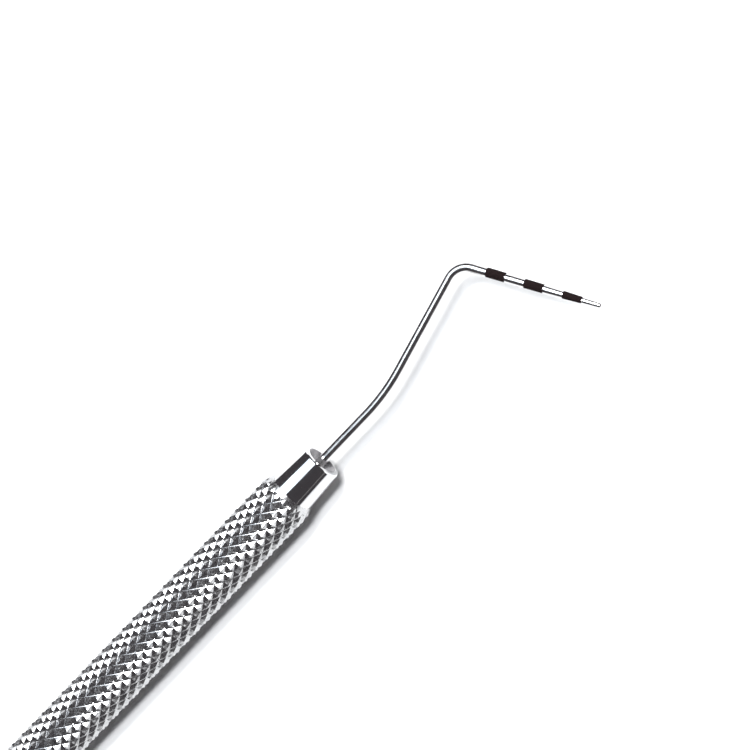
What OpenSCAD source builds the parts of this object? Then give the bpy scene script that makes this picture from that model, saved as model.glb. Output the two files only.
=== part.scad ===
// Periodontal probe, single ended: a hollow knurled handle, a turned nose, a bent probe tip with
// coloured depth bands from 2 mm to 12 mm, and a plug that closes the tail.
// Frame: +X runs along the handle from the tail to the tip, and +Z is up. The origin is on the
// surface that the handle lies on, under the middle of the whole instrument. The bends of the
// tip lie in the plane parallel to XY through the handle's axis: the elbow is on the +Y side,
// and the working end crosses over to the -Y side.

/* [Handle] */
// Length of the whole instrument, from the tail to the tip
overall_length = 165; // [160:1:180]
// Diameter over the points of the knurl
handle_d = 5.7; // [5.68:0.01:5.9]
// Diameter of the plain stretches between and behind the knurls
plain_d = 5.6; // [5.5:0.01:5.65]
// Diameter of the bore through the hollow handle
bore_d = 4.25; // [4:0.05:4.35]
// Length of the knurl behind the nose
front_knurl_length = 52.02; // [40:0.01:54]
// Length of the plain stretch between the two knurls
plain_length = 14; // [8:1:16]
// Length of the plain tail, which a rack or cassette clip holds
tail_length = 8; // [7:0.5:10]

/* [Knurl] */
// Number of grooves that wind each way round the handle: even, so that points stand at the bottom
knurl_starts = 16; // [14:2:18]
// Distance from one knurl point to the next along the handle
knurl_pitch = 1.53; // [1.4:0.01:1.8]
// Depth of the knurl grooves
knurl_depth = 0.27; // [0.2:0.01:0.29]

/* [Nose] */
// Length of the smooth nose ahead of the handle
nose_length = 4.3; // [4:0.1:6]
// Diameter of the nose where it leaves the handle
nose_root_d = 4.71; // [4.65:0.01:4.75]
// Diameter of the nose at its front rim
nose_face_d = 4.18; // [4.1:0.01:4.4]
// Width of the bright chamfer round the front rim
rim_chamfer = 0.12; // [0.05:0.01:0.2]
// Diameter of the countersink at the front of the nose
recess_d = 3.2; // [2.7:0.05:3.3]
// Diameter of the flat bottom of the countersink
recess_floor_d = 1.5; // [1.4:0.1:1.7]
// Depth of the countersink
recess_depth = 0.95; // [0.6:0.05:1.2]
// Length of the spigot that the nose has inside the handle
nose_spigot_length = 13; // [12:0.5:16]

/* [Tip] */
// Diameter of the shank where it leaves the nose
shank_root_d = 1.03; // [1:0.01:1.1]
// Diameter of the shank at the gentle bend
shank_bend_d = 1; // [0.98:0.01:1]
// Diameter of the shank at the elbow
elbow_d = 0.97; // [0.95:0.01:0.98]
// Length of the straight shank ahead of the nose
lead_length = 6.5; // [5:0.5:8]
// Radius of the gentle bend
bend_radius = 20; // [15:0.5:22]
// Angle of the gentle bend
bend_angle = 15.4; // [12:0.1:18]
// Length of the shank from the gentle bend to the corner of the elbow
leg_length = 11.75; // [11:0.05:14]
// Radius of the elbow
elbow_radius = 2.1; // [1.9:0.2:2.7]
// Angle that the elbow turns back through
elbow_angle = 75.1; // [70:0.1:80]
// Length from the corner of the elbow to the end of the tip
reach = 15.2; // [14.4:0.1:16]
// Diameter of the working end at its middle mark
waist_d = 0.86; // [0.82:0.01:0.9]
// Diameter of the working end where its rounded end begins
tip_d = 0.53; // [0.5:0.01:0.56]
// Length of the tang inside the nose
tang_length = 10; // [8:0.5:11]

/* [Depth bands] */
// Distance from one depth mark to the next
mark_step = 2; // [1.98:0.01:2.02]
// Depth of the groove that holds a coloured band
band_groove = 0.05; // [0.04:0.005:0.06]
// Height that a coloured band stands above the steel
band_proud = 0.01; // [0.005:0.005:0.02]

/* [Tail] */
// Length of the domed end of the tail plug
dome_length = 1.6; // [1.2:0.1:2]
// Diameter of the flat on the end of the dome
dome_flat_d = 3.4; // [3:0.1:4]
// Length of the spigot that the tail plug has inside the handle
plug_spigot_length = 8; // [6:0.5:12]

/* [Hidden] */
$fn = 96;
steel_color = "#c6c9cc";
braze_color = "#a8a294";
bond_color = "#8f8a80";
band_color = "#1d1a1a";

// Knurl: its rows are half a pitch apart, and its points alternate from row to row
knurl_r = handle_d / 2;
knurl_root_r = knurl_r - knurl_depth;
points_per_row = 2 * knurl_starts;
point_angle = 360 / points_per_row;

// Handle, with X measured forwards from the front face of the nose
core_gap = 0.12;
core_r = knurl_root_r - core_gap;
relief = 0.1;
overshoot = 1;
edge_steepness = 0.8;
edge_chamfer = (plain_d / 2 - core_r) * edge_steepness;
knurl_runout = 0.45;
tube_front_x = -nose_length;
front_knurl_x1 = tube_front_x - knurl_runout;
front_knurl_x0 = front_knurl_x1 - front_knurl_length;
rear_knurl_x1 = front_knurl_x0 - plain_length;

// Plugs in the bore
spigot_chamfer = 0.3;
bond_depth = 0.15;
bond_width = 1.5;
bond_setback = 3;

// Path of the tip in its own plane, with the same X and with Y across the handle
bend_end = [lead_length + bend_radius * sin(bend_angle), bend_radius * (1 - cos(bend_angle))];
leg_dir = [cos(bend_angle), sin(bend_angle)];
corner = bend_end + leg_length * leg_dir;
tangent_length = elbow_radius * tan(elbow_angle / 2);
elbow_start = corner - tangent_length * leg_dir;
elbow_centre = elbow_start + elbow_radius * [sin(bend_angle), -cos(bend_angle)];
end_angle = bend_angle - elbow_angle;
end_dir = [cos(end_angle), sin(end_angle)];
elbow_end = corner + tangent_length * end_dir;
tip_end = corner + reach * end_dir;
ball_extra = 0.01;

// Fillet of braze: its height on the shank, and the point that makes its face hollow
fillet_height = 0.35;
fillet_waist = [0.15, 0.1];

// Radii of the working end, by distance from the tip
waist_s = 3 * mark_step;
straight_s = reach - tangent_length;
tip_r = tip_d / 2;
taper = [[tip_r, tip_r], [waist_s, waist_d / 2], [straight_s, elbow_d / 2]];

// Box of the whole instrument, which sets the origin
tip_centre = tip_end - tip_r * end_dir;
x_max = tip_centre.x + tip_r;
x_min = x_max - overall_length;
elbow_top_y = elbow_start.y + elbow_radius * (1 - cos(bend_angle)) + elbow_d / 2;
y_max = max(elbow_top_y, knurl_r);
y_min = tip_centre.y - tip_r;
tube_tail_x = x_min + dome_length;
rear_knurl_x0 = tube_tail_x + tail_length;

// Radius of the working end at a distance s from the tip
function taper_r(s) = lookup(s, taper);

// Puts a shape that is drawn about the handle's axis, from the nose face, into the frame, where the
// handle lies on its lowest line of knurl points
module placed() {
    translate([-(x_min + x_max) / 2, -(y_min + y_max) / 2, knurl_r]) children();
}

// Turns an outline of [x, radius] points about the handle's axis
module turned(outline) {
    rotate([0, 90, 0]) rotate_extrude() polygon([for (p = outline) [p[1], p[0]]]);
}

// Turns an outline of [distance from the tip, radius] points about the working end
module turned_on_tip(outline) {
    translate([tip_end.x, tip_end.y, 0]) rotate([0, 0, end_angle]) rotate([0, -90, 0])
        rotate_extrude() polygon([for (p = outline) [p[1], p[0]]]);
}

// One stretch of diamond knurl, as rows of pyramids that sink to the root at both ends
module knurl(x0, x1) {
    rows = 2 * floor((x1 - x0) / knurl_pitch);
    row_step = (x1 - x0) / rows;
    n = points_per_row;
    points = [for (k = [0:rows]) for (m = [0:n - 1])
        let (is_root = k == 0 || k == rows || (k + m) % 2 == 0,
             r = is_root ? knurl_root_r : knurl_r,
             a = m * point_angle)
        [x0 + k * row_step, r * cos(a), r * sin(a)]];
    faces = [
        for (k = [0:rows - 1]) for (m = [0:n - 1])
            let (a = k * n + m, b = k * n + (m + 1) % n, c = a + n, d = b + n)
            each (k + m) % 2 == 0 ? [[a, d, b], [a, c, d]] : [[a, c, b], [b, c, d]],
        [for (m = [0:n - 1]) m],
        [for (m = [n - 1:-1:0]) rows * n + m]
    ];
    polyhedron(points, faces);
}

// A plain stretch of the handle from x0 to x1, with relief grooves at the knurls beside it
function plain_outline(x0, x1) = [
    [x0 + relief, core_r],
    [x0 + relief + edge_chamfer, plain_d / 2],
    [x1 - relief - edge_chamfer, plain_d / 2],
    [x1 - relief, core_r]
];

module handle_tube() {
    outline = concat(
        [[tube_tail_x, 0], [tube_tail_x, plain_d / 2]],
        [for (i = [2:3]) plain_outline(tube_tail_x, rear_knurl_x0)[i]],
        plain_outline(rear_knurl_x1, front_knurl_x0),
        [[front_knurl_x1 + relief, core_r], [tube_front_x, nose_root_d / 2], [tube_front_x, 0]]
    );
    color(steel_color) placed() difference() {
        union() {
            turned(outline);
            knurl(rear_knurl_x0, rear_knurl_x1);
            knurl(front_knurl_x0, front_knurl_x1);
        }
        translate([tube_tail_x - overshoot, 0, 0]) rotate([0, 90, 0])
            cylinder(d=bore_d, h=tube_front_x - tube_tail_x + 2 * overshoot);
    }
}

// A spigot in the bore, with a chamfered end and a groove for its bond ring. The dir is the way
// that it runs from its shoulder at x, and the points run from the shoulder to the axis.
function spigot_outline(x, dir, length) = [
    [x, bore_d / 2],
    [x + dir * bond_setback, bore_d / 2],
    [x + dir * bond_setback, bore_d / 2 - bond_depth],
    [x + dir * (bond_setback + bond_width), bore_d / 2 - bond_depth],
    [x + dir * (bond_setback + bond_width), bore_d / 2],
    [x + dir * (length - spigot_chamfer), bore_d / 2],
    [x + dir * length, bore_d / 2 - spigot_chamfer],
    [x + dir * length, 0]
];

// The ring of bonding metal that fills the groove of the spigot
module bond_ring(x, dir) {
    start_x = x + dir * bond_setback;
    end_x = start_x + dir * bond_width;
    inner_r = bore_d / 2 - bond_depth;
    color(bond_color) placed() turned([
        [start_x, inner_r], [start_x, bore_d / 2], [end_x, bore_d / 2], [end_x, inner_r]
    ]);
}

module nose_cone() {
    outline = concat(
        [
            [-recess_depth, 0],
            [-recess_depth, recess_floor_d / 2],
            [0, recess_d / 2],
            [0, nose_face_d / 2 - rim_chamfer],
            [-rim_chamfer, nose_face_d / 2],
            [tube_front_x, nose_root_d / 2]
        ],
        spigot_outline(tube_front_x, -1, nose_spigot_length)
    );
    color(steel_color) placed() difference() {
        turned(outline);
        translate([-recess_depth - tang_length, 0, 0]) rotate([0, 90, 0])
            cylinder(d=shank_root_d, h=tang_length + recess_depth);
    }
}

module nose_bond_ring() bond_ring(tube_front_x, -1);

// The fillet of braze where the shank leaves the floor of the countersink
module tip_braze_fillet() {
    color(braze_color) placed() turned([
        [-recess_depth, shank_root_d / 2],
        [-recess_depth, recess_floor_d / 2],
        [-recess_depth + fillet_waist.x, shank_root_d / 2 + fillet_waist.y],
        [-recess_depth + fillet_height, shank_root_d / 2]
    ]);
}

// One straight stretch of the shank from a point, at an angle in the plane of the bends
module straight(start, angle, length, d1, d2) {
    translate([start.x, start.y, 0]) rotate([0, 0, angle]) rotate([0, 90, 0])
        cylinder(d1=d1, d2=d2, h=length);
}

// One bend of the shank about a centre, from one angle round to another
module bend(centre, radius, from_angle, turn, d) {
    translate([centre.x, centre.y, 0]) rotate([0, 0, from_angle])
        rotate_extrude(angle=turn) translate([radius, 0]) circle(d=d);
}

// Shank, elbow and working end are one drawn wire, with a straight tang inside the nose. A ball
// that is a hair wider than the wire joins each bend to the straight stretches beside it.
module probe_tip() {
    marks = [for (i = [1, 3, 5]) [i * mark_step, (i + 1) * mark_step]];
    grooves = [for (mark = marks) each [
        [mark[0], taper_r(mark[0])],
        [mark[0], taper_r(mark[0]) - band_groove],
        [mark[1], taper_r(mark[1]) - band_groove],
        [mark[1], taper_r(mark[1])]
    ]];
    end_arc = [for (a = [0:15:75]) [tip_r * (1 - cos(a)), tip_r * sin(a)]];
    joints = [
        [[lead_length, 0], shank_bend_d],
        [bend_end, shank_bend_d],
        [elbow_start, elbow_d],
        [elbow_end, elbow_d]
    ];
    color(steel_color) placed() {
        straight([-recess_depth - tang_length, 0], 0, recess_depth + tang_length, shank_root_d,
            shank_root_d);
        straight([0, 0], 0, lead_length, shank_root_d, shank_bend_d);
        bend([lead_length, bend_radius], bend_radius, -90, bend_angle, shank_bend_d);
        straight(bend_end, bend_angle, leg_length - tangent_length, shank_bend_d, elbow_d);
        bend(elbow_centre, elbow_radius, 90 + end_angle, elbow_angle, elbow_d);
        turned_on_tip(concat(end_arc, [[tip_r, tip_r]], grooves,
            [[straight_s, elbow_d / 2], [straight_s, 0]]));
        for (joint = joints)
            translate([joint[0].x, joint[0].y, 0]) sphere(d=joint[1] + ball_extra);
    }
}

// A band of colour that fills its groove in the working end, from one mark to the next
module marking_band(s0, s1) {
    color(band_color) placed() turned_on_tip([
        [s0, taper_r(s0) - band_groove],
        [s0, taper_r(s0) + band_proud],
        [s1, taper_r(s1) + band_proud],
        [s1, taper_r(s1) - band_groove]
    ]);
}

module marking_band_2_to_4_mm() marking_band(mark_step, 2 * mark_step);
module marking_band_6_to_8_mm() marking_band(3 * mark_step, 4 * mark_step);
module marking_band_10_to_12_mm() marking_band(5 * mark_step, 6 * mark_step);

module tail_plug() {
    dome_points = 6;
    dome = [for (i = [0:dome_points]) let (a = 90 * i / dome_points) [
        tube_tail_x - dome_length * sin(a),
        dome_flat_d / 2 + (plain_d - dome_flat_d) / 2 * cos(a)
    ]];
    spigot = spigot_outline(tube_tail_x, 1, plug_spigot_length);
    last = len(spigot) - 1;
    color(steel_color) placed() turned(concat(
        [for (i = [0:last]) spigot[last - i]],
        dome,
        [[x_min, 0]]
    ));
}

module tail_bond_ring() bond_ring(tube_tail_x, 1);

handle_tube();
nose_cone();
probe_tip();
tip_braze_fillet();
nose_bond_ring();
marking_band_2_to_4_mm();
marking_band_6_to_8_mm();
marking_band_10_to_12_mm();
tail_plug();
tail_bond_ring();
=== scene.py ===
"""The looks of the periodontal probe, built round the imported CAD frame.

The sizes below and the pieces' points are in millimetres, which MM turns into metres. Textures, lights
and the table are in metres. X is measured forwards from the front face of the nose along the handle's
axis, and Y and Z from that axis, as in the CAD.
"""

import math

import bmesh
import bpy
import numpy as np
from mathutils import Matrix, Vector


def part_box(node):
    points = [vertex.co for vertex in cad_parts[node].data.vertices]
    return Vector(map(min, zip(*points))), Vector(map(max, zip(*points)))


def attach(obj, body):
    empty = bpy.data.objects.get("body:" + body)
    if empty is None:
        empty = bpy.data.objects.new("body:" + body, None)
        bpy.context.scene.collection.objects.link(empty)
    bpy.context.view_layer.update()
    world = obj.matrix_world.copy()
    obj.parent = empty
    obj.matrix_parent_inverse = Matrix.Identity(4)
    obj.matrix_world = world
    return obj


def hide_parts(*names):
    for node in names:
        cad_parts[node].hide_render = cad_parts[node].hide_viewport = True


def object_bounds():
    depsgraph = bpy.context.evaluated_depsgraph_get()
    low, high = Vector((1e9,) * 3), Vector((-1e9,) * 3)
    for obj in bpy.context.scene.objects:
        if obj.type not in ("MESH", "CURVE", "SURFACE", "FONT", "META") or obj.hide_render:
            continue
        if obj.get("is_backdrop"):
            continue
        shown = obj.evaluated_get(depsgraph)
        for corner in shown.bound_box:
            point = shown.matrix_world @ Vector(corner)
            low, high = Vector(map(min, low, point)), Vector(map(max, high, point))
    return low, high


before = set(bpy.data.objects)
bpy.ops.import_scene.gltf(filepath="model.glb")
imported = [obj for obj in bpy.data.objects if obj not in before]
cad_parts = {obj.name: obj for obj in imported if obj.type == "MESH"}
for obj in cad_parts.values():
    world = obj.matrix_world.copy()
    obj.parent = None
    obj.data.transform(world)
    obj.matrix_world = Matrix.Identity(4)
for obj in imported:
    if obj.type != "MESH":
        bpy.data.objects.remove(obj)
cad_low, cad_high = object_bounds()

MM = 0.001
TURN = 2 * math.pi
rng = np.random.default_rng(seed=11)

# ---- Where the frame puts things ----

nose_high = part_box("nose_cone")[1]
tube_low, tube_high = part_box("handle_tube")
plug_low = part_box("tail_plug")[0]
AXIS_Y = (tube_low.y + tube_high.y) / 2
AXIS_Z = (tube_low.z + tube_high.z) / 2
ORIGIN = Vector((nose_high.x, AXIS_Y, AXIS_Z))
TUBE_FRONT = (tube_high.x - ORIGIN.x) / MM
TUBE_TAIL = (tube_low.x - ORIGIN.x) / MM
TAIL_END = (plug_low.x - ORIGIN.x) / MM

# ---- Sizes that the frame's boxes don't tell, as in the CAD apart from the knurl's depth ----

# Handle
CREST_R = 2.85
PLAIN_R = 2.8
BORE_R = 2.125
KNURL_STARTS = 16
KNURL_PITCH = 1.53
KNURL_DEPTH = 0.34    # 0.07 more than in the CAD, so that the grooves look as dark as the real ones
KNURL_RUNOUT = 0.45
FRONT_KNURL = 52.02
PLAIN_LENGTH = 14.0
TAIL_LENGTH = 8.0
# Nose
NOSE_ROOT_R = 2.355
NOSE_FACE_R = 2.09
RIM_CHAMFER = 0.12
RECESS_R = 1.6
RECESS_FLOOR_R = 0.75
RECESS_DEPTH = 0.95
FILLET_HEIGHT = 0.35
# Tip
ROOT_R = 0.515
BEND_R = 0.5
ELBOW_R = 0.485
WAIST_R = 0.43
TIP_R = 0.265
LEAD = 6.5
BEND_RADIUS = 20.0
BEND_ANGLE = math.radians(15.4)
LEG = 11.75
ELBOW_RADIUS = 2.1
ELBOW_ANGLE = math.radians(75.1)
ELBOW_TANGENT = ELBOW_RADIUS * math.tan(ELBOW_ANGLE / 2)
REACH = 15.2
WORKING_LENGTH = REACH - ELBOW_TANGENT
TANG = 10.0
# Depth bands, as distances from the tip
MARK_STEP = 2.0
BANDS = [(first * MARK_STEP, (first + 1) * MARK_STEP) for first in (1, 3, 5)]
WAIST_AT = 3 * MARK_STEP
BAND_GROOVE = 0.05
BAND_PROUD = 0.01
# Spigots of the nose and the tail plug
NOSE_SPIGOT = 13.0
PLUG_SPIGOT = 8.0
BOND_DEPTH = 0.15
BOND_WIDTH = 1.5
BOND_SETBACK = 3.0
SPIGOT_CHAMFER = 0.3
# Dome of the tail plug
DOME_LENGTH = 1.6
DOME_FLAT_R = 1.7

# ---- How finely the meshes are cut ----

GRID = 6    # mesh steps across one flank of a knurl point
TURNED_SEGMENTS = 128
FILLET_SEGMENTS = 64
WIRE_SEGMENTS = 48


# ---- Mesh tools ----

def make_object(name, points, faces, material, replaced, sharp_angle=math.radians(25)):
    """A piece that rides on the probe and stands in place of the CAD node that it replaces.

    The points are in millimetres about ORIGIN."""
    mesh = bpy.data.meshes.new(name)
    placed = np.asarray(points, float) * MM + np.array(ORIGIN)
    mesh.from_pydata(placed.tolist(), [], [list(face) for face in faces])
    mesh.validate()
    mesh.update()
    mesh.shade_smooth()
    mesh.set_sharp_from_angle(angle=sharp_angle)
    mesh.materials.append(material)
    piece = bpy.data.objects.new(name, mesh)
    bpy.context.scene.collection.objects.link(piece)
    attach(piece, "root")
    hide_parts(replaced)
    return piece


def ring_faces(first, second, count, flip=False):
    """Quads between two rings of count points that start at the indices first and second."""
    faces = []
    for j in range(count):
        k = (j + 1) % count
        quad = (first + j, second + j, second + k, first + k)
        faces.append(quad[::-1] if flip else quad)
    return faces


def lathe(outline, segments, place):
    """Points and faces of a closed outline of (along, radius) points, turned round an axis.

    place(along, radius, angle) gives the point in space. A point of radius 0 becomes a pole."""
    points, rings = [], []
    for along, radius in outline:
        rings.append((len(points), radius > 0))
        if radius > 0:
            points += [place(along, radius, TURN * j / segments) for j in range(segments)]
        else:
            points.append(place(along, 0, 0))
    faces = []
    count = len(outline)
    for i in range(count):
        (a, a_ring), (b, b_ring) = rings[i], rings[(i + 1) % count]
        if a_ring and b_ring:
            faces += ring_faces(a, b, segments)
        elif a_ring:
            faces += [(a + j, b, a + (j + 1) % segments) for j in range(segments)]
        elif b_ring:
            faces += [(a, b + j, b + (j + 1) % segments) for j in range(segments)]
    return points, faces


def about_handle(along, radius, angle):
    """The point at an angle round the handle's axis, from the Y axis."""
    return (along, radius * math.cos(angle), radius * math.sin(angle))


def rounded(outline, corners):
    """The outline with some of its corners rounded. corners maps an index to a radius."""
    steps = 5
    result = []
    count = len(outline)
    for i, here in enumerate(outline):
        if i not in corners:
            result.append(here)
            continue
        corner = Vector(here)
        before = (Vector(outline[i - 1]) - corner).normalized()
        after = (Vector(outline[(i + 1) % count]) - corner).normalized()
        half = before.angle(after) / 2
        radius = corners[i]
        reach = radius / math.tan(half)
        centre = corner + (before + after).normalized() * (radius / math.sin(half))
        start = corner + before * reach - centre
        end = corner + after * reach - centre
        for k in range(steps + 1):
            spoke = start.slerp(end, k / steps).normalized() * radius
            result.append(tuple(centre + spoke))
    return result


# ---- Materials ----

# Most of a noise texture's values lie between these two.
NOISE_LOW, NOISE_HIGH = 0.3, 0.7


def new_material(name):
    material = bpy.data.materials.new(name)
    material.use_nodes = True
    tree = material.node_tree
    return material, tree, tree.nodes["Principled BSDF"]


def node(tree, kind, **settings):
    """A shader node. Each setting is the value of an input or, failing that, a property."""
    made = tree.nodes.new(kind)
    for key, value in settings.items():
        if key in made.inputs:
            made.inputs[key].default_value = value
        else:
            setattr(made, key, value)
    return made


def noise(tree, coordinates, scale, stretch=(1, 1, 1), detail=3.0):
    """Noise in object space with scale cells in a metre, times stretch along each axis."""
    mapping = node(tree, "ShaderNodeMapping", Scale=stretch)
    tree.links.new(coordinates.outputs["Object"], mapping.inputs["Vector"])
    made = node(tree, "ShaderNodeTexNoise", Scale=scale, Detail=detail)
    tree.links.new(mapping.outputs["Vector"], made.inputs["Vector"])
    return made.outputs["Fac"]


def spread(tree, value, low, high):
    """A number between low and high, by noise."""
    made = node(tree, "ShaderNodeMapRange")
    made.inputs["From Min"].default_value = NOISE_LOW
    made.inputs["From Max"].default_value = NOISE_HIGH
    made.inputs["To Min"].default_value = low
    made.inputs["To Max"].default_value = high
    tree.links.new(value, made.inputs["Value"])
    return made.outputs["Result"]


def tinted(tree, value, dark, light):
    """A colour between dark and light, by noise."""
    ramp = node(tree, "ShaderNodeValToRGB")
    first, last = ramp.color_ramp.elements
    first.position, first.color = NOISE_LOW, (*dark, 1)
    last.position, last.color = NOISE_HIGH, (*light, 1)
    tree.links.new(value, ramp.inputs["Fac"])
    return ramp.outputs["Color"]


def bump(tree, height, distance, below=None):
    """A bump of the given height in metres, on top of the bump below it."""
    made = node(tree, "ShaderNodeBump", Strength=1.0, Distance=distance)
    tree.links.new(height, made.inputs["Height"])
    if below is not None:
        tree.links.new(below, made.inputs["Normal"])
    return made.outputs["Normal"]


def math_node(tree, operation, *values):
    """A math node on values that are numbers or other nodes' outputs."""
    made = node(tree, "ShaderNodeMath", operation=operation)
    for socket, value in zip(made.inputs, values):
        if isinstance(value, (int, float)):
            socket.default_value = value
        else:
            tree.links.new(value, socket)
    return made.outputs["Value"]


def in_countersink(tree, coordinates):
    """1 on the faces of the countersink in the nose, where the nose's material paints shade, and 0 on
    its polished outside.
    """
    parts = node(tree, "ShaderNodeSeparateXYZ")
    tree.links.new(coordinates.outputs["Object"], parts.inputs["Vector"])
    y = math_node(tree, "SUBTRACT", parts.outputs["Y"], ORIGIN.y)
    z = math_node(tree, "SUBTRACT", parts.outputs["Z"], ORIGIN.z)
    y_squared = math_node(tree, "MULTIPLY", y, y)
    z_squared = math_node(tree, "MULTIPLY", z, z)
    radius = math_node(tree, "SQRT", math_node(tree, "ADD", y_squared, z_squared))
    return math_node(tree, "LESS_THAN", radius, RECESS_R * MM)


def mixed(tree, kind, mask, outside, inside):
    """One value or colour outside the mask and another inside it. kind is FLOAT or RGBA."""
    made = node(tree, "ShaderNodeMix", data_type=kind)
    suffix = {"FLOAT": "Float", "RGBA": "Color"}[kind]
    sockets = {socket.identifier: socket for socket in made.inputs}
    results = {socket.identifier: socket for socket in made.outputs}
    tree.links.new(mask, sockets["Factor_Float"])
    tree.links.new(outside, sockets["A_" + suffix])
    tree.links.new(inside, sockets["B_" + suffix])
    return results["Result_" + suffix]


def steel(name, dark, light, rough, grain, marks, mark_stretch, mark_depth, wave_depth=0.0, countersink_shade_and_finish=None):
    """Metal with a fine grain, clouds of colour, and marks left by the tool that finished it.

    dark and light are colours, and rough is the lowest and highest roughness. grain and marks are
    cells in a metre, and mark_stretch makes the marks long where it is below 1. mark_depth and
    wave_depth are in metres. The last argument gives the (dark, light, rough) of the nose's
    countersink:
    its two dark greys are painted shade in the hollow, and its roughness is the turned finish."""
    clouds, waves = 900.0, 450.0
    grain_share = 0.6
    material, tree, shader = new_material(name)
    shader.inputs["Metallic"].default_value = 1.0
    coordinates = node(tree, "ShaderNodeTexCoord")
    fine = noise(tree, coordinates, grain)
    streaks = noise(tree, coordinates, marks, mark_stretch, detail=2.0)
    colour = tinted(tree, noise(tree, coordinates, clouds), dark, light)
    roughness = spread(tree, streaks, *rough)
    if countersink_shade_and_finish is not None:
        painted_shade_dark, painted_shade_light, cut_rough = countersink_shade_and_finish
        # In the countersink two dark greys are painted shade in the hollow, and the higher roughness is
        # its turned finish.
        mask = in_countersink(tree, coordinates)
        colour = mixed(tree, "RGBA", mask, colour, tinted(tree, fine, painted_shade_dark, painted_shade_light))
        roughness = mixed(tree, "FLOAT", mask, roughness, spread(tree, fine, *cut_rough))
    tree.links.new(colour, shader.inputs["Base Color"])
    tree.links.new(roughness, shader.inputs["Roughness"])
    normal = bump(tree, fine, mark_depth * grain_share)
    normal = bump(tree, streaks, mark_depth, below=normal)
    if wave_depth:
        normal = bump(tree, noise(tree, coordinates, waves, detail=1.0), wave_depth, below=normal)
    tree.links.new(normal, shader.inputs["Normal"])
    return material


# Which way the marks are long: no way, round the handle's axis, or level, as the wire lies.
EVEN = (1, 1, 1)
ROUND_THE_HANDLE = (1, 0.05, 0.05)
LEVEL = (0.3, 0.3, 1)

handle_steel = steel(
    "handle_steel", dark=(0.43, 0.43, 0.44), light=(0.54, 0.54, 0.54), rough=(0.18, 0.33),
    grain=14000.0, marks=5000.0, mark_stretch=EVEN, mark_depth=7e-6)
# The nose's countersink gets two dark greys as painted shade in its hollow, and a rougher turned
# finish.
nose_steel = steel(
    "nose_steel", dark=(0.58, 0.58, 0.59), light=(0.66, 0.66, 0.66), rough=(0.06, 0.13),
    grain=16000.0, marks=9000.0, mark_stretch=ROUND_THE_HANDLE, mark_depth=6e-7, wave_depth=1.2e-5,
    countersink_shade_and_finish=((0.16, 0.155, 0.16), (0.34, 0.33, 0.34), (0.22, 0.40)))
tip_steel = steel(
    "tip_steel", dark=(0.57, 0.56, 0.56), light=(0.66, 0.65, 0.65), rough=(0.12, 0.22),
    grain=16000.0, marks=6000.0, mark_stretch=LEVEL, mark_depth=8e-7)
plug_steel = steel(
    "plug_steel", dark=(0.58, 0.58, 0.59), light=(0.66, 0.66, 0.66), rough=(0.08, 0.16),
    grain=16000.0, marks=9000.0, mark_stretch=ROUND_THE_HANDLE, mark_depth=8e-7, wave_depth=8e-6)
braze_metal = steel(
    "braze_metal", dark=(0.34, 0.32, 0.29), light=(0.52, 0.50, 0.46), rough=(0.30, 0.50),
    grain=12000.0, marks=4000.0, mark_stretch=EVEN, mark_depth=8e-6)


def coating(name):
    """Matt brown-black coating, a little uneven in colour and gloss, with a fine grain."""
    dark, light = (0.0060, 0.0035, 0.0036), (0.0140, 0.0085, 0.0088)
    material, tree, shader = new_material(name)
    coordinates = node(tree, "ShaderNodeTexCoord")
    cells = noise(tree, coordinates, scale=7000.0)
    fine = noise(tree, coordinates, scale=30000.0)
    tree.links.new(tinted(tree, cells, dark, light), shader.inputs["Base Color"])
    tree.links.new(spread(tree, cells, 0.75, 0.90), shader.inputs["Roughness"])
    tree.links.new(bump(tree, fine, 6e-6), shader.inputs["Normal"])
    shader.inputs["Specular IOR Level"].default_value = 0.05
    return material


band_coating = coating("band_coating")


# ---- Handle ----

CREST_WEAR = 0.05      # share of a flank's depth that is worn off the crests
GROOVE_DEPTH = 0.95    # share of a flank's depth that the rounded groove reaches
POINT_WEAR = 0.010     # spread of the wear from point to point
KNURL_ROOT_R = CREST_R - KNURL_DEPTH
SUNK_END = (KNURL_ROOT_R, 0.5)             # (radius at the end of a stretch, length of its cone)
FRONT_END = (NOSE_ROOT_R + 0.03, 1.15)


def zigzag(phase):
    """1 in a groove, at a whole phase, and 0 on the crest half way between two grooves."""
    return np.abs(2 * (phase - np.floor(phase)) - 1)


def knurl_rows(x0, x1, front_end, tail_end):
    """Rows of radii of one stretch of diamond knurl, which sinks along a cone at both ends.

    Gives x of the rows, the radii, which way the groove runs that shapes each point, and whether the
    point is at the bottom of a groove."""
    pitches = round((x1 - x0) / KNURL_PITCH)
    rows = pitches * 2 * GRID
    columns = 2 * GRID * KNURL_STARTS
    x = np.linspace(x0, x1, rows + 1)
    row = np.arange(rows + 1)[:, None]
    column = np.arange(columns)[None, :]
    along, round_it = row / (2 * GRID), column / (2 * GRID)
    one, other = zigzag(round_it + along), zigzag(round_it - along)
    depth = np.maximum(one, other)
    softened = np.clip(depth, CREST_WEAR, GROOVE_DEPTH)
    uneven = rng.normal(0, POINT_WEAR, (2 * pitches + 2, 2 * KNURL_STARTS))
    uneven = uneven[row // GRID, column // GRID]
    radius = CREST_R - KNURL_DEPTH * softened - np.abs(uneven) * (1 - depth)
    (front_r, front_length), (tail_r, tail_length) = front_end, tail_end
    front_cone = front_r + (CREST_R - front_r) * (x1 - x) / front_length
    tail_cone = tail_r + (CREST_R - tail_r) * (x - x0) / tail_length
    radius = np.minimum(radius, np.minimum(front_cone, tail_cone)[:, None])
    return x, radius, one > other, depth >= GROOVE_DEPTH


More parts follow.
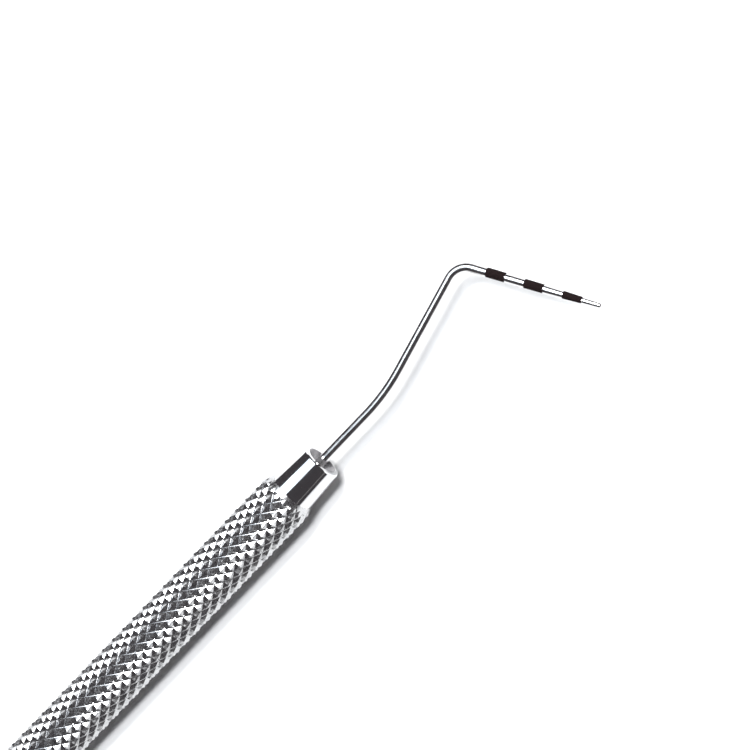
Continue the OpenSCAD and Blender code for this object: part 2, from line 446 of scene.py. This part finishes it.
def handle_rows():
    """The rows of the tube's outside from tail to front, each with what knurl_rows gives."""
    columns = 2 * GRID * KNURL_STARTS
    x_front_knurl = TUBE_FRONT - KNURL_RUNOUT - FRONT_KNURL
    x_rear_knurl = x_front_knurl - PLAIN_LENGTH
    x_tail_knurl = TUBE_TAIL + TAIL_LENGTH
    tail_chamfer = 0.05
    neck_r = KNURL_ROOT_R - 0.02
    neck = [(0.03, neck_r), (0.1, neck_r), (0.3, PLAIN_R - 0.04), (0.4, PLAIN_R)]

    def plain(x, way):
        """One end of a plain stretch: its neck beside the knurl, whose end is at x."""
        outline = [(x + way * away, radius) for away, radius in neck]
        return outline[::way]

    def rings(outline):
        nowhere = np.zeros(columns, bool)
        return [(x, np.full(columns, radius), nowhere, nowhere) for x, radius in outline]

    rows = rings([(TUBE_TAIL, BORE_R), (TUBE_TAIL, PLAIN_R - tail_chamfer),
                  (TUBE_TAIL + tail_chamfer, PLAIN_R)])
    rows += rings(plain(x_tail_knurl, -1))
    rows += zip(*knurl_rows(x_tail_knurl, x_rear_knurl, SUNK_END, SUNK_END))
    rows += rings(plain(x_rear_knurl, 1) + plain(x_front_knurl, -1))
    rows += zip(*knurl_rows(x_front_knurl, TUBE_FRONT, FRONT_END, SUNK_END))
    rows += rings([(TUBE_FRONT, NOSE_ROOT_R), (TUBE_FRONT, BORE_R)])
    return (np.array(values) for values in zip(*rows))


def handle_tube():
    """The knurled tube as one grid, closed by its two end faces and its bore.

    Each cell of the grid is cut into two triangles, along the groove that shapes it."""
    xs, radii, leans, grooves = handle_rows()
    count, columns = radii.shape
    angle = np.arange(columns) * TURN / columns
    points = np.empty((count, columns, 3))
    points[..., 0] = xs[:, None]
    points[..., 1] = radii * np.cos(angle)
    points[..., 2] = radii * np.sin(angle)
    index = np.arange(count * columns).reshape(count, columns)
    a, b = index[:-1], index[1:]
    a_next, b_next = np.roll(a, -1, 1), np.roll(b, -1, 1)
    lean = leans | np.roll(leans, -1, 1)
    lean = lean[:-1] & lean[1:]
    along = np.stack([np.stack([a, b, a_next], -1), np.stack([b, b_next, a_next], -1)], 2)
    across = np.stack([np.stack([a, b, b_next], -1), np.stack([a, b_next, a_next], -1)], 2)
    faces = np.where(lean[..., None, None], along, across).reshape(-1, 3)[:, ::-1].tolist()
    faces += ring_faces(int(index[-1, 0]), int(index[0, 0]), columns, flip=True)
    piece = make_object("knurled_handle", points.reshape(-1, 3), faces, handle_steel,
                        "handle_tube", sharp_angle=math.radians(22))
    smooth_grooves(piece.data, grooves.reshape(-1))
    return piece


def smooth_grooves(mesh, in_groove):
    """Lets the shading run round through the bottoms of the grooves, which aren't sharp."""
    ends = np.empty(len(mesh.edges) * 2, int)
    mesh.edges.foreach_get("vertices", ends)
    sharp = np.empty(len(mesh.edges), bool)
    values = mesh.attributes["sharp_edge"].data
    values.foreach_get("value", sharp)
    sharp &= ~in_groove[ends.reshape(-1, 2)].all(axis=1)
    values.foreach_set("value", sharp)


# ---- Nose, plug and braze ----

def spigot(x, way, length):
    """A spigot in the bore, from its shoulder to its end face, with a groove for its bond ring."""
    groove_start = x + way * BOND_SETBACK
    groove_end = groove_start + way * BOND_WIDTH
    groove_r = BORE_R - BOND_DEPTH
    end = x + way * length
    return [(x, BORE_R), (groove_start, BORE_R), (groove_start, groove_r), (groove_end, groove_r),
            (groove_end, BORE_R), (end - way * SPIGOT_CHAMFER, BORE_R), (end, BORE_R - SPIGOT_CHAMFER)]


def nose_cone():
    """The turned nose, with turning rings in its countersink and a rounded rim."""
    turning_rings = 5
    ring_depth = 0.014
    countersink_steps = turning_rings * 8
    recess_corner, rim_corner = 0.03, 0.05
    flank_steps = 12
    floor_x = -RECESS_DEPTH
    countersink = []
    for k in range(1, countersink_steps):
        share = k / countersink_steps
        sink = ring_depth * math.sin(TURN * turning_rings * share) ** 2
        countersink.append((floor_x * (1 - share) - sink,
                            RECESS_FLOOR_R + (RECESS_R - RECESS_FLOOR_R) * share))
    front = [(floor_x, ROOT_R), (floor_x, RECESS_FLOOR_R), *countersink, (0, RECESS_R),
             (0, NOSE_FACE_R - RIM_CHAMFER), (-RIM_CHAMFER, NOSE_FACE_R)]
    last = len(front) - 1
    corners = {last - 2: recess_corner, last - 1: rim_corner, last: rim_corner}
    flank = []
    for k in range(1, flank_steps):
        share = k / flank_steps
        flank.append((-RIM_CHAMFER + (TUBE_FRONT + RIM_CHAMFER) * share,
                      NOSE_FACE_R + (NOSE_ROOT_R - NOSE_FACE_R) * share))
    tang_end = floor_x - TANG
    outline = front + flank + [(TUBE_FRONT, NOSE_ROOT_R)] + spigot(TUBE_FRONT, -1, NOSE_SPIGOT)
    outline += [(TUBE_FRONT - NOSE_SPIGOT, 0), (tang_end, 0), (tang_end, ROOT_R)]
    points, faces = lathe(rounded(outline, corners), TURNED_SEGMENTS, about_handle)
    return make_object("turned_nose", points, faces, nose_steel, "nose_cone")


def tail_plug():
    """The domed plug that closes the tail of the tube."""
    dome_steps = 24
    dome = []
    for k in range(dome_steps + 1):
        angle = math.pi / 2 * k / dome_steps
        dome.append((TUBE_TAIL - DOME_LENGTH * math.sin(angle),
                     DOME_FLAT_R + (PLAIN_R - DOME_FLAT_R) * math.cos(angle)))
    outline = [(TAIL_END, 0)] + dome[::-1] + spigot(TUBE_TAIL, 1, PLUG_SPIGOT)
    outline.append((TUBE_TAIL + PLUG_SPIGOT, 0))
    points, faces = lathe(outline[::-1], TURNED_SEGMENTS, about_handle)
    return make_object("domed_tail_plug", points, faces, plug_steel, "tail_plug")


def braze_fillet():
    """The hollow-faced fillet of braze metal round the root of the wire."""
    waist_x, waist_y = 0.15, 0.1
    steps = 8
    corner = (-RECESS_DEPTH, RECESS_FLOOR_R)
    middle = (-RECESS_DEPTH + waist_x / 2, ROOT_R + waist_y / 2)
    top = (-RECESS_DEPTH + FILLET_HEIGHT, ROOT_R)
    face = []
    for k in range(steps + 1):
        t = k / steps
        face.append(tuple((1 - t) ** 2 * c + 2 * t * (1 - t) * m + t ** 2 * p
                          for c, m, p in zip(corner, middle, top)))
    points, faces = lathe([(-RECESS_DEPTH, ROOT_R)] + face, FILLET_SEGMENTS, about_handle)
    return make_object("braze_fillet", points, faces, braze_metal, "tip_braze_fillet")


# ---- Probe tip ----

def path_of_tip():
    """The centreline from the tang to the end of the tip: (x, y, heading, distance from the start)."""
    bend_steps, elbow_steps = 14, 30
    position, heading, distance = Vector((-RECESS_DEPTH - TANG, 0)), 0.0, 0.0
    stations = [(position.x, position.y, heading, distance)]

    def step_to(there, new_heading):
        nonlocal position, heading, distance
        distance += (there - position).length
        position, heading = there, new_heading
        stations.append((there.x, there.y, heading, distance))

    def straight(length, spacing):
        start, way = position.copy(), Vector((math.cos(heading), math.sin(heading)))
        count = max(1, round(length / spacing))
        for k in range(1, count + 1):
            step_to(start + way * (length * k / count), heading)

    def bend(radius, turn, count):
        side = 1 if turn > 0 else -1
        centre = position + radius * side * Vector((-math.sin(heading), math.cos(heading)))
        start = heading
        for k in range(1, count + 1):
            h = start + turn * k / count
            step_to(centre + radius * side * Vector((math.sin(h), -math.cos(h))), h)

    straight(TANG, spacing=1.0)
    straight(RECESS_DEPTH + LEAD, spacing=0.4)
    bend(BEND_RADIUS, BEND_ANGLE, bend_steps)
    straight(LEG - ELBOW_TANGENT, spacing=0.4)
    bend(ELBOW_RADIUS, -ELBOW_ANGLE, elbow_steps)
    straight(WORKING_LENGTH, spacing=0.1)
    return stations


STATIONS = path_of_tip()
END_X, END_Y, END_HEADING, WIRE_LENGTH = STATIONS[-1]
END = Vector((END_X, END_Y))
BACK = Vector((-math.cos(END_HEADING), -math.sin(END_HEADING)))
SIDE = Vector((-math.sin(END_HEADING), math.cos(END_HEADING)))


def taper(from_tip):
    """Radius of the working end by distance from the tip, before the band grooves."""
    return float(np.interp(from_tip, [TIP_R, WAIST_AT, WORKING_LENGTH], [TIP_R, WAIST_R, ELBOW_R]))


def wire_radius(distance):
    """Radius of the wire by distance from the start of the tang, before the band grooves."""
    from_tip = WIRE_LENGTH - distance
    if from_tip < WORKING_LENGTH:
        return taper(from_tip)
    lead_start = TANG + RECESS_DEPTH
    bend_start = lead_start + LEAD
    bend_end = bend_start + BEND_RADIUS * BEND_ANGLE
    elbow_start = WIRE_LENGTH - WORKING_LENGTH - ELBOW_RADIUS * ELBOW_ANGLE
    return float(np.interp(distance, [lead_start, bend_start, bend_end, elbow_start],
                           [ROOT_R, BEND_R, BEND_R, ELBOW_R]))


def wire_rings():
    """The wire's rings from tang to tip: (x, y, heading, radius).

    Stations that would crowd the edge of a band or the rounded end are left out."""
    band_gap, end_gap = 0.03, 0.05
    end_steps = 10
    rings = []
    for x, y, heading, distance in STATIONS:
        from_tip = WIRE_LENGTH - distance
        in_band = any(low - band_gap < from_tip < high + band_gap for low, high in BANDS)
        if from_tip > TIP_R + end_gap and not in_band:
            rings.append((from_tip, (x, y, heading, wire_radius(distance))))
    for low, high in BANDS:
        for from_tip, drop in ((high, 0), (high, BAND_GROOVE), (low, BAND_GROOVE), (low, 0)):
            centre = END + BACK * from_tip
            rings.append((from_tip, (centre.x, centre.y, END_HEADING, taper(from_tip) - drop)))
    for k in range(end_steps):
        angle = math.pi / 2 * (1 - k / end_steps)
        from_tip = TIP_R * (1 - math.cos(angle))
        centre = END + BACK * from_tip
        rings.append((from_tip, (centre.x, centre.y, END_HEADING, TIP_R * math.sin(angle))))
    rings.sort(key=lambda ring: -ring[0])
    return [ring for _, ring in rings]


def probe_tip():
    """The drawn wire, swept along its path, with a groove under each band and a rounded end."""
    segments = WIRE_SEGMENTS
    rings = wire_rings()
    points = [(rings[0][0], rings[0][1], 0)]
    for x, y, heading, radius in rings:
        for j in range(segments):
            angle = TURN * j / segments
            sideways, up = radius * math.cos(angle), radius * math.sin(angle)
            points.append((x - math.sin(heading) * sideways, y + math.cos(heading) * sideways, up))
    last = 1 + (len(rings) - 1) * segments
    points.append((END.x, END.y, 0))
    faces = [(0, 1 + (j + 1) % segments, 1 + j) for j in range(segments)]
    for start in range(1, last, segments):
        faces += ring_faces(start, start + segments, segments, flip=True)
    faces += [(last + j, last + (j + 1) % segments, len(points) - 1) for j in range(segments)]
    return make_object("probe_wire", points, faces, tip_steel, "probe_tip")


def band_node(low, high):
    return f"marking_band_{low:.0f}_to_{high:.0f}_mm"


def marking_band(low, high):
    """A band of coating in its groove, with softened edges that aren't quite even."""
    soft, shoulder, overlap = 0.035, 0.014, 0.01
    unevenness, lobe_count = 0.018, 3
    lobes = rng.uniform(0, TURN, lobe_count)
    middle = (low + high) / 2

    def place(along, radius, angle):
        wobble = sum(math.sin((k + 2) * angle + lobes[k]) for k in range(lobe_count))
        wobble *= unevenness / lobe_count
        inward = 1 if along < middle else -1
        p = END + BACK * (along + inward * abs(wobble)) + SIDE * (radius * math.cos(angle))
        return (p.x, p.y, radius * math.sin(angle))

    def edge(mark, inward):
        """The outline over one edge of the band, from just under the groove's bottom to the outside."""
        radius = taper(mark)
        return [(mark, radius - BAND_GROOVE - overlap), (mark, radius - soft),
                (mark + inward * shoulder, radius), (mark + inward * soft, radius + BAND_PROUD)]

    outline = edge(high, -1) + [(middle, taper(middle) + BAND_PROUD)] + edge(low, 1)[::-1]
    points, faces = lathe(outline, WIRE_SEGMENTS, place)
    replaced = band_node(low, high)
    return make_object(replaced + "_coating", points, faces, band_coating, replaced)


# ---- The pieces, and the CAD nodes' materials ----

def fix_normals(piece):
    """Turns every face of a closed piece outwards."""
    mesh = bmesh.new()
    mesh.from_mesh(piece.data)
    bmesh.ops.recalc_face_normals(mesh, faces=mesh.faces)
    mesh.to_mesh(piece.data)
    mesh.free()


pieces = [handle_tube(), nose_cone(), tail_plug(), braze_fillet(), probe_tip()]
pieces += [marking_band(low, high) for low, high in BANDS]
for piece in pieces:
    fix_normals(piece)

materials_of_nodes = {
    "handle_tube": handle_steel,
    "nose_cone": nose_steel,
    "probe_tip": tip_steel,
    "tail_plug": plug_steel,
    "tip_braze_fillet": braze_metal,
    "nose_bond_ring": braze_metal,
    "tail_bond_ring": braze_metal,
}
for low, high in BANDS:
    materials_of_nodes[band_node(low, high)] = band_coating
for name, material in materials_of_nodes.items():
    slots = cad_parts[name].data.materials
    slots.clear()
    slots.append(material)


# ---- Floor, light and camera ----

def floor():
    """A plain white table with a faint paper grain, large enough for every view."""
    half = 3.0
    cells = 6
    dark, light = (0.80, 0.80, 0.80), (0.83, 0.83, 0.83)
    points, faces = [], []
    for i in range(cells + 1):
        for j in range(cells + 1):
            points.append((half * (2 * i / cells - 1), half * (2 * j / cells - 1), 0))
    for i in range(cells):
        for j in range(cells):
            a = i * (cells + 1) + j
            faces.append((a, a + cells + 1, a + cells + 2, a + 1))
    mesh = bpy.data.meshes.new("table")
    mesh.from_pydata(points, [], faces)
    table = bpy.data.objects.new("table", mesh)
    bpy.context.scene.collection.objects.link(table)
    material, tree, shader = new_material("white_table")
    grain = noise(tree, node(tree, "ShaderNodeTexCoord"), scale=300.0)
    tree.links.new(tinted(tree, grain, dark, light), shader.inputs["Base Color"])
    shader.inputs["Roughness"].default_value = 0.9
    shader.inputs["Specular IOR Level"].default_value = 0.1
    mesh.materials.append(material)
    table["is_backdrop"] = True


def area_light(name, centre, size, radiance, colour, aim=None):
    """A rectangular light. centre and size are in metres about ORIGIN, and it faces down or at aim."""
    width, length = size
    light = bpy.data.lights.new(name, "AREA")
    light.shape = "RECTANGLE"
    light.size, light.size_y = width, length
    light.energy = radiance * math.pi * width * length
    light.color = colour
    lamp = bpy.data.objects.new(name, light)
    lamp.location = ORIGIN + Vector(centre)
    if aim is not None:
        lamp.rotation_euler = (Vector(aim) - Vector(centre)).to_track_quat("-Z", "Y").to_euler()
    bpy.context.scene.collection.objects.link(lamp)


def studio():
    """Soft overhead light in a dim room, so that polished steel shows bright bands between dark ones.

    A wide, weak and bluish panel hangs behind two bright tubes. One of them is right above the probe,
    and the other on the elbow's side. A thin strip low down lights the side away from the elbow."""
    area_light("key_softbox", centre=(0.064, 0.154, 0.400), size=(0.372, 0.364),
               radiance=2.9, colour=(0.80, 0.90, 1.0))
    area_light("key_tube_above", centre=(0.100, 0.028, 0.398), size=(0.250, 0.056),
               radiance=33.0, colour=(1.0, 1.0, 1.0))
    area_light("key_tube_beside", centre=(0.124, 0.155, 0.398), size=(0.250, 0.097),
               radiance=33.0, colour=(1.0, 0.99, 0.97))
    area_light("low_strip", centre=(0.0, -1.0, 0.325), size=(1.6, 0.03),
               radiance=0.5, colour=(1.0, 0.98, 0.95), aim=(0, 0, 0))
    world = bpy.data.worlds.new("dim_room")
    world.use_nodes = True
    background = world.node_tree.nodes["Background"]
    background.inputs["Color"].default_value = (0.98, 0.90, 0.98, 1)
    background.inputs["Strength"].default_value = 0.075
    bpy.context.scene.world = world
    bpy.context.scene.view_settings.view_transform = "Standard"


def camera():
    """A level camera turned a quarter turn, so that the table's normal points to the picture's left."""
    azimuth, elevation = math.radians(-43.89), math.radians(66.6)
    distance = 395.2 * MM
    target = ORIGIN + Vector((9.689, 2.084, 0)) * MM
    back = Vector((math.cos(elevation) * math.cos(azimuth), math.cos(elevation) * math.sin(azimuth),
                   math.sin(elevation)))
    up_of_table = Vector((0, 0, 1))
    right = -(up_of_table - back * up_of_table.dot(back)).normalized()
    up = back.cross(right)
    data = bpy.data.cameras.new("camera")
    data.sensor_width = 36
    data.lens = 198.2
    data.clip_start, data.clip_end = 0.01, 20
    taker = bpy.data.objects.new("camera", data)
    turn = Matrix((right, up, back)).transposed().to_4x4()
    taker.matrix_world = Matrix.Translation(target + back * distance) @ turn
    bpy.context.scene.collection.objects.link(taker)
    bpy.context.scene.camera = taker


floor()
studio()
camera()

bpy.context.view_layer.update()
low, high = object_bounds()
{"cad": [list(cad_low), list(cad_high)], "visual": [list(low), list(high)]}
